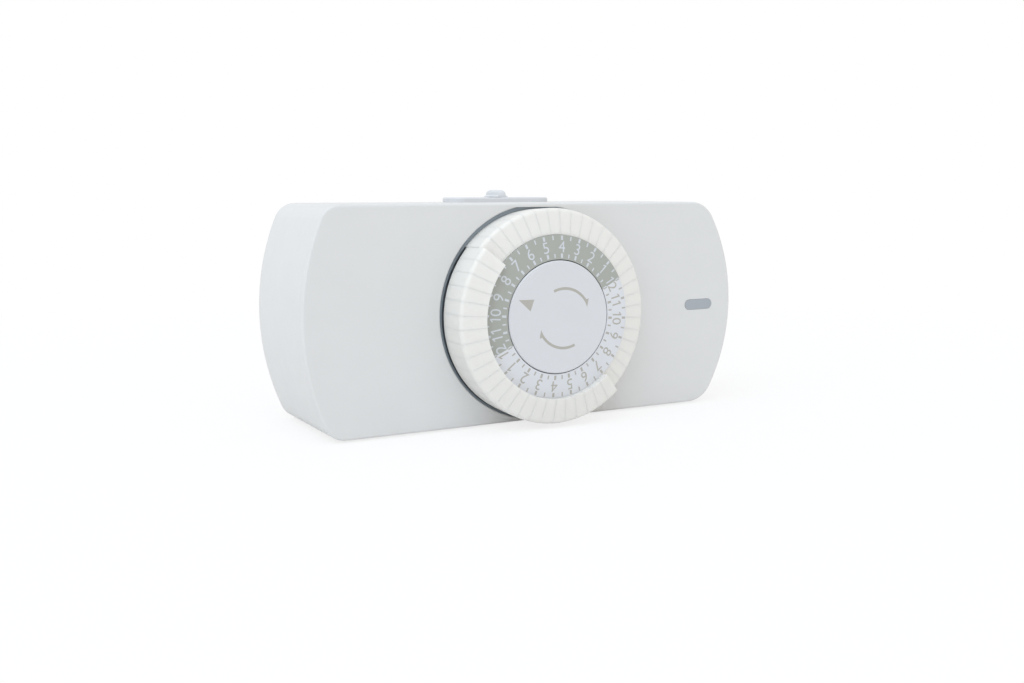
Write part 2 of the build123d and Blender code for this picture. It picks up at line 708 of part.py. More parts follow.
def scale_ring():
    rear = CARRIER_FRONT_Y
    spigot_rear = rear + SCALE_SPIGOT_DEPTH
    spigot_outer = DRUM_INNER_RADIUS - RUNNING_GAP
    spigot_inner = spigot_outer - SCALE_SPIGOT_THICKNESS
    return one(turned([
        (SCALE_INNER_RADIUS, rear), (spigot_inner, rear), (spigot_inner, spigot_rear),
        (spigot_outer, spigot_rear), (spigot_outer, rear), (SCALE_OUTER_RADIUS, rear),
        (SCALE_OUTER_RADIUS, SCALE_FRONT_Y + SCALE_BEVEL), (SCALE_OUTER_RADIUS - SCALE_BEVEL, SCALE_FRONT_Y),
        (SCALE_INNER_RADIUS, SCALE_FRONT_Y),
    ]))


def centre_cap():
    disc = rod(CAP_RADIUS, CAP_FRONT_Y + CAP_THICKNESS, CAP_FRONT_Y)
    disc = chamfer(front_rim(disc), CAP_CHAMFER)
    disc += rod(CAP_BOSS_RADIUS, CAP_BOSS_REAR_Y, CAP_FRONT_Y + LAP)
    socket = rod(POST_SPIGOT_RADIUS + SEAT_GAP, CAP_BOSS_REAR_Y + PAST, POST_SPIGOT_FRONT_Y - SEAT_GAP)
    return one(disc - socket)


def centre_post():
    rivet_rear_y = PLATE_REAR_Y + POST_RIVET_THICKNESS
    post = rod(POST_RADIUS, PLATE_FRONT_Y, POST_STEP_Y)
    post += rod(POST_SPIGOT_RADIUS, POST_STEP_Y, POST_SPIGOT_FRONT_Y)
    post += rod(POST_SHOULDER_RADIUS, PLATE_FRONT_Y, POST_SHOULDER_FRONT_Y)
    post += rod(POST_SPIGOT_RADIUS, rivet_rear_y, PLATE_FRONT_Y)
    post += rod(POST_RIVET_RADIUS, rivet_rear_y, PLATE_REAR_Y)
    groove = tube(POST_RADIUS + PAST, POST_GROOVE_RADIUS, CLIP_REAR_Y + RUNNING_GAP,
                  CLIP_FRONT_Y - RUNNING_GAP)
    return one(post - groove)


def retaining_ring():
    ring = tube(CLIP_OUTER_RADIUS, POST_GROOVE_RADIUS + SEAT_GAP, CLIP_REAR_Y, CLIP_FRONT_Y)
    mouth = block(around(0, CLIP_OPENING), (CLIP_REAR_Y + PAST, CLIP_FRONT_Y - PAST),
                  (0, CLIP_OUTER_RADIUS + PAST))
    return one(ring - mouth)


def clutch_washer():
    """A dished spring washer that presses the dial against the drive gear."""
    rear = DRIVE_HUB_FRONT_Y - SEAT_GAP
    front = FLANGE_REAR_Y + RUNNING_GAP
    return one(turned([(WASHER_INNER_RADIUS, front), (WASHER_INNER_RADIUS, front + WASHER_THICKNESS),
                       (WASHER_OUTER_RADIUS, rear), (WASHER_OUTER_RADIUS, rear - WASHER_THICKNESS)]))


def mechanism_plate():
    outline = Polyline((PLATE_LEFT_X, PLATE_LOW_Z), (-PLATE_SKIRT_HALF_WIDTH, PLATE_LOW_Z),
                       (-PLATE_SKIRT_HALF_WIDTH, PLATE_SKIRT_Z), (PLATE_SKIRT_HALF_WIDTH, PLATE_SKIRT_Z),
                       (PLATE_SKIRT_HALF_WIDTH, PLATE_LOW_Z), (PLATE_RIGHT_X, PLATE_LOW_Z),
                       (PLATE_RIGHT_X, PLATE_TOP_Z - PLATE_CORNER),
                       (PLATE_RIGHT_X - PLATE_CORNER, PLATE_TOP_Z),
                       (PLATE_LEFT_X + PLATE_CORNER, PLATE_TOP_Z),
                       (PLATE_LEFT_X, PLATE_TOP_Z - PLATE_CORNER), close=True)
    plate = slab(make_face(outline), PLATE_REAR_Y, PLATE_FRONT_Y)
    holes = [(SMALL_SCREW_RADIUS + LOOSE_GAP, place) for place in PLATE_STUDS]
    holes += [(SMALL_SCREW_RADIUS + RUNNING_GAP, place) for place in motor_ear_places()]
    holes += [(POST_SPIGOT_RADIUS + SEAT_GAP, DIAL_CENTRE), (MOTOR_BOSS_RADIUS + LOOSE_GAP, MOTOR_CENTRE)]
    holes += [(AXLE_RADIUS + SEAT_GAP, centre) for centre in (FIRST_CENTRE, SECOND_CENTRE)]
    through = (PLATE_REAR_Y + PAST, PLATE_FRONT_Y - PAST)
    for radius, place in holes:
        plate -= rod(radius, *through, *place)
    plate -= block((MICROSWITCH_X[0] - LOOSE_GAP, MICROSWITCH_X[1] + LOOSE_GAP), through,
                   around(LEVER_Z, 2 * MICROSWITCH_HALF_THICKNESS + 2 * LOOSE_GAP))
    for z in (LEVER_Z - LEVER_ARM_OFFSET, LEVER_Z + LEVER_ARM_OFFSET):
        arm = block(around(LEVER_PIVOT_X, LEVER_ARM_WIDTH),
                    (PLATE_FRONT_Y + LAP, LEVER_PIVOT_Y - LEVER_ARM_REACH), around(z, LEVER_ARM_THICKNESS))
        hole = Cylinder(LEVER_PIN_RADIUS + SEAT_GAP, LEVER_ARM_THICKNESS + 2 * PAST)
        plate += arm - Pos(LEVER_PIVOT_X, LEVER_PIVOT_Y, z) * hole
    return one(plate)


def gear_axles():
    fronts = {FIRST_CENTRE: FIRST_PINION_Y[0], SECOND_CENTRE: SECOND_PINION_Y[0]}
    return [one(rod(AXLE_RADIUS, PLATE_REAR_Y, front_y - AXLE_TIP, *centre))
            for centre, front_y in fronts.items()]


def drive_gear():
    gear = wheel(DRIVE_TEETH, COARSE_MODULE, FIRST_GEAR_ANGLE, (DRIVE_FRONT_Y, DRIVE_REAR_Y), DIAL_CENTRE)
    for index in range(DRIVE_WEB_HOLES):
        hole = polar(DRIVE_WEB_HOLE_CIRCLE, index * 360 / DRIVE_WEB_HOLES)
        gear -= rod(DRIVE_WEB_HOLE_RADIUS, DRIVE_REAR_Y + PAST, DRIVE_FRONT_Y - PAST, *hole)
    gear += rod(DRIVE_HUB_RADIUS, DRIVE_HUB_REAR_Y, DRIVE_HUB_FRONT_Y)
    return one(gear - rod(POST_RADIUS + RUNNING_GAP, DRIVE_HUB_REAR_Y + PAST, DRIVE_HUB_FRONT_Y - PAST))


def compound_gear(small, wheel_phase, pinion_depths, wheel_depths, centre):
    """A pinion and a wheel on one sleeve."""
    gear = small + wheel(WHEEL_TEETH, FINE_MODULE, wheel_phase, wheel_depths, centre)
    gear += rod(SLEEVE_RADIUS, SLEEVE_REAR_Y, pinion_depths[0] + LAP, *centre)
    bore = rod(AXLE_RADIUS + RUNNING_GAP, SLEEVE_REAR_Y + PAST, pinion_depths[0] - PAST, *centre)
    return one(gear - bore)


def first_compound_gear():
    small = pinion(COARSE_MODULE, facing_phase(FIRST_GEAR_ANGLE), FIRST_PINION_Y, FIRST_CENTRE)
    return compound_gear(small, SECOND_GEAR_ANGLE, FIRST_PINION_Y, FIRST_WHEEL_Y, FIRST_CENTRE)


def second_compound_gear():
    small = pinion(FINE_MODULE, facing_phase(SECOND_GEAR_ANGLE), SECOND_PINION_Y, SECOND_CENTRE)
    return compound_gear(small, MOTOR_ANGLE, SECOND_PINION_Y, SECOND_WHEEL_Y, SECOND_CENTRE)


def motor_pinion():
    gear = pinion(FINE_MODULE, facing_phase(MOTOR_ANGLE), MOTOR_PINION_Y, MOTOR_CENTRE)
    return one(gear + rod(MOTOR_SHAFT_RADIUS, MOTOR_SHAFT_REAR_Y, MOTOR_PINION_Y[0], *MOTOR_CENTRE))


def motor_body():
    can = rod(MOTOR_RADIUS, MOTOR_REAR_Y, MOTOR_FRONT_Y, *MOTOR_CENTRE)
    can = chamfer(rear_rim(can), MOTOR_CHAMFER)
    can += rod(MOTOR_BOSS_RADIUS, MOTOR_FRONT_Y, MOTOR_BOSS_FRONT_Y, *MOTOR_CENTRE)
    ear_rear_y = MOTOR_FRONT_Y + MOTOR_EAR_THICKNESS
    for degrees, (x, z) in zip(MOTOR_EAR_ANGLES, motor_ear_places()):
        neck = Rot(0, 0, degrees) * SlotCenterToCenter(MOTOR_EAR_DISTANCE, 2 * MOTOR_EAR_RADIUS)
        middle = stepped(MOTOR_CENTRE, MOTOR_EAR_DISTANCE / 2, degrees)
        can += slab(on_front(*middle) * neck, ear_rear_y, MOTOR_FRONT_Y)
        can -= rod(SMALL_SCREW_RADIUS + LOOSE_GAP, ear_rear_y + PAST, MOTOR_FRONT_Y - PAST, x, z)
    bore = rod(MOTOR_SHAFT_RADIUS + RUNNING_GAP, MOTOR_SHAFT_REAR_Y + 2 * LOOSE_GAP,
               MOTOR_BOSS_FRONT_Y - PAST, *MOTOR_CENTRE)
    return one(can - bore)


def trip_lever():
    """A rocking arm whose ramped nose stands just behind the pressed tabs' feet."""
    low, high = around(LEVER_Z, 2 * LEVER_HALF_HEIGHT)
    pivot = Pos(LEVER_PIVOT_X, LEVER_PIVOT_Y, LEVER_Z)
    barrel = pivot * Cylinder(LEVER_BARREL_RADIUS, LEVER_BARREL_LENGTH)
    arm = block((LEVER_PIVOT_X, LEVER_NOSE_X[0]), (LEVER_FRONT_Y + LEVER_NOSE_STEP, LEVER_REAR_Y),
                (low, high))
    ramp = make_face(Polyline((LEVER_FRONT_Y, LEVER_Z - LEVER_NOSE_HALF_HEIGHT),
                              (LEVER_FRONT_Y, LEVER_Z + LEVER_NOSE_HALF_HEIGHT),
                              (LEVER_REAR_Y, high), (LEVER_REAR_Y, low), close=True))
    start = LEVER_NOSE_X[0] - LAP
    nose = extrude(Plane.YZ.offset(start) * ramp, amount=LEVER_NOSE_X[1] - start)
    bore = pivot * Cylinder(LEVER_PIN_RADIUS + RUNNING_GAP, LEVER_BARREL_LENGTH + 2 * PAST)
    return one(barrel + arm + nose - bore)


def lever_pin():
    return one(Pos(LEVER_PIVOT_X, LEVER_PIVOT_Y, LEVER_Z) * Cylinder(LEVER_PIN_RADIUS, LEVER_PIN_LENGTH))


def microswitch_body():
    body = block(MICROSWITCH_X, (MICROSWITCH_FRONT_Y, MICROSWITCH_REAR_Y),
                 around(LEVER_Z, 2 * MICROSWITCH_HALF_THICKNESS))
    body -= block(around(PLUNGER_X, PLUNGER_SIZE[0] + 2 * LOOSE_GAP),
                  (MICROSWITCH_FRONT_Y - PAST, PLUNGER_REAR_Y + PLUNGER_TRAVEL + 2 * LOOSE_GAP),
                  around(LEVER_Z, PLUNGER_SIZE[1] + 2 * LOOSE_GAP))
    for x in MICROSWITCH_TERMINALS_X:
        body += block(around(x, TERMINAL_THICKNESS),
                      (MICROSWITCH_REAR_Y - LAP, MICROSWITCH_REAR_Y + MICROSWITCH_TERMINAL_LENGTH),
                      around(LEVER_Z, MICROSWITCH_TERMINAL_WIDTH))
    return one(body)


def microswitch_plunger():
    return one(block(around(PLUNGER_X, PLUNGER_SIZE[0]), (PLUNGER_FRONT_Y, PLUNGER_REAR_Y),
                     around(LEVER_Z, PLUNGER_SIZE[1])))


def switch_plate():
    outline = RectangleRounded(SWITCH_PLATE_LENGTH, SWITCH_PLATE_WIDTH, SWITCH_PLATE_CORNER)
    plate_top = TOP_Z + SWITCH_PLATE_THICKNESS
    plate = upright(Pos(OVERRIDE_X, OVERRIDE_Y) * outline, TOP_Z, plate_top)
    plate = chamfer(top_rim(plate), SWITCH_PLATE_CHAMFER)
    plate -= slide_slot(KNOB_SKIRT_SIZE, TOP_Z - PAST, TOP_Z + KNOB_SKIRT_POCKET)
    plate -= slide_slot((KNOB_THICKNESS, KNOB_STEM_SIZE[1]), TOP_Z - PAST, plate_top + PAST)
    return one(on_top(plate))


def knob_grip(low_z, high_z):
    """The upright that a finger pushes: round on top, flared at its foot, with rounded ends."""
    foot_width = KNOB_THICKNESS + 2 * KNOB_FLARE
    standing = (Align.CENTER, Align.MIN)
    profile = Rectangle(KNOB_THICKNESS, high_z - low_z, align=standing)
    profile += Rectangle(foot_width, KNOB_FOOT_HEIGHT, align=standing)
    heights = profile.vertices().group_by(Axis.Y)
    inner_corners = heights[1].sort_by(lambda vertex: abs(vertex.X))[:2]
    profile = fillet(inner_corners, KNOB_FLARE_RADIUS)
    profile = fillet(profile.vertices().group_by(Axis.Y)[-1], KNOB_TOP_RADIUS)
    depths = around(OVERRIDE_Y, KNOB_WIDTH)
    ends = block(around(OVERRIDE_X, foot_width), depths, (low_z, high_z))
    ends = fillet(ends.edges().filter_by(Axis.X).sort_by(Axis.Z)[-2:], KNOB_END_RADIUS)
    return slab(on_front(OVERRIDE_X, low_z) * profile, depths[1], depths[0]) & ends


def override_knob():
    plate_top = TOP_Z + SWITCH_PLATE_THICKNESS
    skirt_low = TOP_Z + LOOSE_GAP
    grip_low = plate_top + LOOSE_GAP
    skirt = block(around(OVERRIDE_X, KNOB_SKIRT_SIZE[0]), around(OVERRIDE_Y, KNOB_SKIRT_SIZE[1]),
                  (skirt_low, skirt_low + KNOB_SKIRT_THICKNESS))
    stem = block(around(OVERRIDE_X, KNOB_STEM_SIZE[0]), around(OVERRIDE_Y, KNOB_STEM_SIZE[1]),
                 (KNOB_STEM_BOTTOM_Z, grip_low + LAP))
    grip = knob_grip(grip_low, plate_top + KNOB_HEIGHT)
    return one(on_top(skirt + stem + grip))


def override_switch():
    top = TOP_Z - WALL - LOOSE_GAP
    low = top - OVERRIDE_BODY_HEIGHT
    body = block(around(OVERRIDE_X, OVERRIDE_BODY_SIZE[0]), around(OVERRIDE_Y, OVERRIDE_BODY_SIZE[1]),
                 (low, top))
    body -= slide_slot(KNOB_STEM_SIZE, KNOB_STEM_BOTTOM_Z - LAP, top + PAST)
    for side in (-1, 0, 1):
        body += block(around(OVERRIDE_X + side * OVERRIDE_TERMINAL_STEP, OVERRIDE_TERMINAL_WIDTH),
                      around(OVERRIDE_Y, TERMINAL_THICKNESS), (low - OVERRIDE_TERMINAL_LENGTH, low + LAP))
    return one(on_top(body))


def led_lens():
    lip_rear_y = FRONT_INSIDE_Y + LENS_LIP_THICKNESS
    window = slab(lens_outline(0), FRONT_INSIDE_Y, FRONT_Y - LENS_PROUD)
    lip = slab(lens_outline(LENS_LIP), lip_rear_y, FRONT_INSIDE_Y)
    holder = rod(LENS_HOLDER_RADIUS, LENS_HOLDER_REAR_Y, lip_rear_y, LAMP_X, LAMP_Z)
    socket = rod(LED_FLANGE_RADIUS + RUNNING_GAP, LENS_HOLDER_REAR_Y + PAST, LENS_SOCKET_FRONT_Y, LAMP_X,
                 LAMP_Z)
    return one(window + lip + holder - socket)


def led_lamp():
    rear = LENS_HOLDER_REAR_Y
    lamp = rod(LED_RADIUS, rear, rear - LED_LENGTH, LAMP_X, LAMP_Z)
    lamp = fillet(front_rim(lamp), LED_DOME_RADIUS)
    lamp += rod(LED_FLANGE_RADIUS, rear, rear - LED_FLANGE_THICKNESS, LAMP_X, LAMP_Z)
    for side in (-1, 1):
        lamp += block(around(LAMP_X + side * LED_LEG_OFFSET, LED_LEG_THICKNESS),
                      (rear - LAP, rear + LED_LEG_LENGTH), around(LAMP_Z, LED_LEG_THICKNESS))
    return one(lamp)


def outlet(centre_x):
    """A grounded outlet that faces down, with a pocket for a contact above each opening."""
    outside_z = BOTTOM_Z - growth(OUTLET_Y - OUTLET_BODY[1] / 2)
    inner_z = outside_z + WALL
    face = upright(outlet_outline(centre_x), outside_z + OUTLET_RECESS, inner_z + LAP)
    body = face + block(around(centre_x, OUTLET_BODY[0]), around(OUTLET_Y, OUTLET_BODY[1]),
                        (inner_z + RUNNING_GAP, OUTLET_TOP_Z))
    pocket_floor = outside_z + OUTLET_RECESS + OUTLET_FACE_THICKNESS
    opening = (outside_z - PAST, pocket_floor + PAST)
    pocket = (pocket_floor, OUTLET_TOP_Z + PAST)
    for side, slot in ((1, HOT_SLOT), (-1, NEUTRAL_SLOT)):
        x = centre_x + side * BLADE_SPACING / 2
        body -= block(around(x, slot[0]), around(BLADE_LINE_Y, slot[1]), opening)
        body -= block(around(x, CONTACT_POCKET[0]), around(BLADE_LINE_Y, CONTACT_POCKET[1]), pocket)
    ground = Pos(centre_x, GROUND_LINE_Y)
    body -= upright(ground * Circle(GROUND_HOLE_RADIUS), *opening)
    body -= upright(ground * Circle(GROUND_POCKET_RADIUS), *pocket)
    return one(body)


def clip(x):
    """Two leaves that grip a blade, hanging from the arm above them."""
    arm_low = ARM_TOP_Z - STRIP
    leaves = []
    for side in (-1, 1):
        middle = x + side * (LEAF_GAP + LEAF_THICKNESS) / 2
        leaves.append(block(around(middle, LEAF_THICKNESS), around(BLADE_LINE_Y, LEAF_WIDTH),
                            (arm_low - LEAF_LENGTH, arm_low + LAP)))
    return leaves


def hanger(x, width, front_y, strip_y):
    """An arm over an outlet, with the drop behind it that joins the long strip."""
    arm = block(around(x, width), (front_y, strip_y + STRIP / 2), (ARM_TOP_Z - STRIP, ARM_TOP_Z))
    return arm + block(around(x, width), around(strip_y, STRIP), (STRIP_LOW_Z, ARM_TOP_Z))


def long_strip(start_x, end_x, strip_y):
    return block((start_x, end_x), around(strip_y, STRIP), (STRIP_LOW_Z, STRIP_HIGH_Z))


def riser(x, strip_y, top_z):
    """The tongue that rises from the long strip to the plug."""
    return block(around(x, RISER_WIDTH), around(strip_y, STRIP), (STRIP_HIGH_Z - LAP, top_z))


def blade_bus(side, strip_y):
    """The contacts of one pole in both outlets, joined behind them."""
    reach = [x + side * BLADE_SPACING / 2 for x in OUTLET_X.values()]
    bus = long_strip(*reach, strip_y)
    for x in reach:
        bus += hanger(x, ARM_WIDTH, BLADE_LINE_Y - LEAF_WIDTH / 2, strip_y)
        bus += clip(x)
    return bus


def load_bus():
    return one(blade_bus(1, LOAD_STRIP_Y))


def neutral_bus():
    tongue = riser(-BLADE_SPACING / 2, NEUTRAL_STRIP_Y, BLADE_Z + BLADE_WIDTH / 2)
    return one(blade_bus(-1, NEUTRAL_STRIP_Y) + tongue)


def ground_bus():
    bus = long_strip(*OUTLET_X.values(), GROUND_STRIP_Y) + riser(0, GROUND_STRIP_Y, GROUND_RISER_TOP_Z)
    for x in OUTLET_X.values():
        bus += hanger(x, GROUND_ARM_WIDTH, GROUND_LINE_Y + GROUND_ARM_START, GROUND_STRIP_Y)
        ring = Circle(GROUND_SLEEVE_RADIUS) - Circle(GROUND_HOLE_RADIUS)
        bus += upright(Pos(x, GROUND_LINE_Y) * ring, ARM_TOP_Z - STRIP - LEAF_LENGTH, ARM_TOP_Z)
    return one(bus)


def pieces():
    """Every node's name and its solids."""
    nodes = {
        "housing": housing(),
        "back_plate": back_plate(),
        "housing_screws": housing_screws(),
        "plug_hot_blade": plug_blade(1, HOT_BLADE_INNER_Y),
        "plug_neutral_blade": plug_blade(-1, NEUTRAL_STRIP_Y + STRIP / 2),
        "plug_ground_pin": plug_ground_pin(),
        "mechanism_plate": mechanism_plate(),
        "mechanism_screws": mechanism_screws(),
        "motor_body": motor_body(),
        "motor_screws": motor_screws(),
        "motor_pinion": motor_pinion(),
        "gear_axles": gear_axles(),
        "first_compound_gear": first_compound_gear(),
        "second_compound_gear": second_compound_gear(),
        "drive_gear": drive_gear(),
        "clutch_washer": clutch_washer(),
        "centre_post": centre_post(),
        "retaining_ring": retaining_ring(),
        "dial_carrier": dial_carrier(),
        "scale_ring": scale_ring(),
        "centre_cap": centre_cap(),
        "trip_lever": trip_lever(),
        "lever_pin": lever_pin(),
        "microswitch_body": microswitch_body(),
        "microswitch_plunger": microswitch_plunger(),
        "switch_plate": switch_plate(),
        "override_knob": override_knob(),
        "override_switch": override_switch(),
        "led_lens": led_lens(),
        "led_lamp": led_lamp(),
        "load_bus": load_bus(),
        "neutral_bus": neutral_bus(),
        "ground_bus": ground_bus(),
    }
    for side, x in OUTLET_X.items():
        nodes[f"outlet_{side}"] = outlet(x)
    nodes.update(tab_nodes())
    return nodes


os.makedirs("parts", exist_ok=True)
for name, shape in pieces().items():
    solids = shape if isinstance(shape, list) else [shape]
    node = solids[0] if len(solids) == 1 else Compound(children=solids)
    export_step(node, f"parts/{name}.step")
    print(name, len(solids))
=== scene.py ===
import json
import math

import bmesh
import bpy
from mathutils import Matrix, Vector


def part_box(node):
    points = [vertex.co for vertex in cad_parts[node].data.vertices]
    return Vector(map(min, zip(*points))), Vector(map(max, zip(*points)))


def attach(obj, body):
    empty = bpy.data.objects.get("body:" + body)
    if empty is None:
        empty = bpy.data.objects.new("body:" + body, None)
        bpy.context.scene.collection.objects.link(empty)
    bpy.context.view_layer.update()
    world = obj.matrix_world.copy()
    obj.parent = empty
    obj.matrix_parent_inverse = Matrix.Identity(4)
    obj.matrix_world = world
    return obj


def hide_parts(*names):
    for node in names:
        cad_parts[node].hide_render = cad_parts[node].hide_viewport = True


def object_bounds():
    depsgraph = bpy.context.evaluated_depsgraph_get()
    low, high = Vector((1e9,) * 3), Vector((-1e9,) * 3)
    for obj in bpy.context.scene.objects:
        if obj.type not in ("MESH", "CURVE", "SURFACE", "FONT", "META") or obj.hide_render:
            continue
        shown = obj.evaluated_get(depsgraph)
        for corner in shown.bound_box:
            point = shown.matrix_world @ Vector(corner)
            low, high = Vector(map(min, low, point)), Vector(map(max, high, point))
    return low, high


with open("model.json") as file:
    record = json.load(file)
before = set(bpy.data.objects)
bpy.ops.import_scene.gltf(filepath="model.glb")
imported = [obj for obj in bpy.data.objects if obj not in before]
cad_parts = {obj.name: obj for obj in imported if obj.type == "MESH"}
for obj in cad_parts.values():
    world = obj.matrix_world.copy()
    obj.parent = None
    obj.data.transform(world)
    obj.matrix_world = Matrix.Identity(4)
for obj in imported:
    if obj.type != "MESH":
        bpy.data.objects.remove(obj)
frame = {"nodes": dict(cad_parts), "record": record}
cad_low, cad_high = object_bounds()

# The photograph's camera, in the part's frame, in metres and radians
CAMERA_PLACE = (-0.17324, -0.35742, 0.03718)
CAMERA_YAW = 0.4852
CAMERA_PITCH = 0.1308
CAMERA_ROLL = -0.0073
# Lens and sensor in millimetres, as Blender takes them
CAMERA_LENS = 37.2
SENSOR_WIDTH = 36.0
CAMERA_CLIP = (0.01, 10)

# The numbered ring, in metres and degrees: its face slopes back from its inner edge
SCALE_FRONT_Y = -0.0616
SCALE_RADII = (0.01875, 0.02675)
SCALE_SLOPE = 6.0
SCALE_THICKNESS = 0.0016
SCALE_STEPS = 192

# The print on the ring and the cap, in metres, and degrees about the dial's axis from the right
CAP_FRONT_Y = -0.0620
PRINT_PROUD = 0.00002
PRINT_SUNK = 0.00001
HOURS = 24
HOUR_ANGLE = 360 / HOURS
LABELS = ["4", "5", "6", "7", "8", "9", "10", "11", "12", "1", "2", "3"]
FIRST_LABEL_ANGLE = 86.25
DARK_HALF_START = 26.25
LABEL_RADIUS = 0.0229
DIGIT_HEIGHT = 0.0036
DIGIT_PITCH = 0.0024
DIGIT_CURVE_STEPS = 5
# The outline of a 1 with its flag, right of and above its middle, as shares of a digit's height
ONE = [(-0.01, -0.5), (0.12, -0.5), (0.12, 0.5), (0.03, 0.5),
       (-0.19, 0.34), (-0.19, 0.2), (-0.01, 0.32)]
OUTER_TICKS = (0.02505, 0.02645)
INNER_HOUR_TICKS = (0.01925, 0.0207)
INNER_HALF_TICKS = (0.0193, 0.0206)
HOUR_TICK_WIDTH = 0.00074
HALF_TICK_WIDTH = 0.00046

# The cap's pointer, and its two arrows, which are one shape and the same turned half a turn
ARROW_CENTRE = (0.0019, -0.00045)
ARROW_RADIUS = 0.00975
ARROW_WIDTH = 0.00088
ARROW_START = 113.5
ARROW_BARB = 35.0
ARROW_BARB_OUT = 0.0009
ARROW_BARB_LEAN = 1.5
ARROW_TIP = 20.4
ARROW_STEPS = 40
POINTER = [(-0.0149, 0.0063), (-0.0107, 0.0025), (-0.0093, 0.0062)]

# The dial's tabs, in metres and degrees: a front cap, an outer skirt and a foot. Depths are behind the
# front's inner edge, and the skirt tapers from the front radius to the rear one
TAB_ANGLE = 7.5
TAB_GAP = 0.000007
TAB_STEPS = 3
TAB_INNER_RADIUS = 0.0268
TAB_FRONT_RADIUS = 0.0353
TAB_REAR_RADIUS = 0.0349
TAB_SKIRT_RADIUS = 0.033
TAB_CAP_DEPTH = 0.003
TAB_LENGTH = 0.0152
TAB_FRONT_SLOPE = 12.0
TAB_EDGE_RADIUS = 0.0015
TAB_EDGE_STEPS = 6
TAB_ROUNDING = 0.000014
FOOT_RADII = (0.0289, 0.0313)
FOOT_DEPTHS = (0.0029, 0.0226)
FOOT_WIDTH = 0.0016

# The ledge in the dial's well, seen in the gap round the tabs: a ring cut flat above and below
# Its grey stands partly for a grey part and partly for painted shade deep in the narrow gap
LEDGE_DEPTHS = (-0.0469, -0.0462)
LEDGE_INNER_RADIUS = 0.03505
WELL_RADIUS = 0.03612
WELL_CENTRE_Z = 0.00035
WELL_FLATS_Z = (-0.03522, 0.03562)
LEDGE_STEPS = 144

# Edges are rounded where their faces meet at more than EDGE_ANGLE degrees
KNOB_ROUNDING = 0.0001
ROUNDING_STEPS = 2
WELD_DISTANCE = 0.0000005
EDGE_ANGLE = 30

# Light that spreads inside the tabs' thin plastic
SUBSURFACE = 0.28
SUBSURFACE_DEPTH = 0.0015
SUBSURFACE_TINT = (1, 0.95, 0.88)

# The sizes of the materials' patterns, in metres, and the part of a noise's range that each one uses
NOISE_SPAN = (0.3, 0.7)
FLOW_SIZE = 0.012
SPECK_SIZE = 0.0006
SPECK_SPAN = (0.68, 0.76)
SPECK_SHARE = 0.35
SPECK_MOTTLES = 4
GLOSS_SIZE = 0.004
GLOSS_SPREAD = (0.05, 0.06)
# Sharp edges of some mouldings are lightened: partly wear, partly painted highlight
WEAR_AND_HIGHLIGHT_EDGE = 0.0004
WEAR_AND_HIGHLIGHT_SHARE = 0.5
WEAR_AND_HIGHLIGHT_LIGHTER = 1.12
TARNISH_SIZE = 0.004
TARNISH_SPAN = (0.35, 0.75)
STREAK_SPAN = (0.35, 0.7)
STREAK_SHARE = 0.3
STREAK_DARK = 0.85
STREAK_GLOSS_SPREAD = (0.08, 0.14)
# Metal edges are brightened: partly rubbed wear, partly painted highlight
RUBBED_AND_HIGHLIT_EDGE = 0.00025
RUBBED_AND_HIGHLIT_LIGHTER = 1.25
EDGE_SAMPLES = 4
EDGE_SPAN = (0.85, 0.99)
PRINT_PATCH = 0.002
PRINT_SPREAD = 0.02
INK_PATCH = 0.0005
INK_SPREAD = 0.03
INK_GLOSS_SIZE = 0.0008
INK_GLOSS = (0.5, 0.65)
INK_GRAIN = 0.0001
INK_DEPTH = 0.000001

# The sockets that a Mix node uses for colours
MIX_FACTOR = 0
MIX_COLOURS = (6, 7)
MIX_RESULT = 2

# The light, and the floor, whose shadow fades out between two distances from the part
AMBIENT = (0.86, 0.845, 0.825, 1)
WHITE = (1, 1, 1, 1)
KEY_PLACE = (-1.5, -1.05, 2.65)
KEY_SIZE = 4.6
KEY_POWER = 56
KEY_TINT = (0.78, 0.98, 1.2)
FLOOR_REACH = 3.0
FLOOR_COLOURS = ((0.88, 0.88, 0.88, 1), (0.9, 0.9, 0.9, 1))
FLOOR_PATCH = 0.05
SHADOW_REACH = (0.12, 0.45)
SHADOW_SHARE = 0.22


def linear(red, green, blue):
    """A screen's colour, 0 to 255, in a shader's linear values, by the sRGB curve."""
    out = []
    for value in (red, green, blue):
        share = value / 255
        out.append(share / 12.92 if share <= 0.04045 else ((share + 0.055) / 1.055) ** 2.4)
    return (*out, 1)


def shaded(colour, factor):
    """The colour made lighter or darker, never past white."""
    return (*(min(1, channel * factor) for channel in colour[:3]), 1)


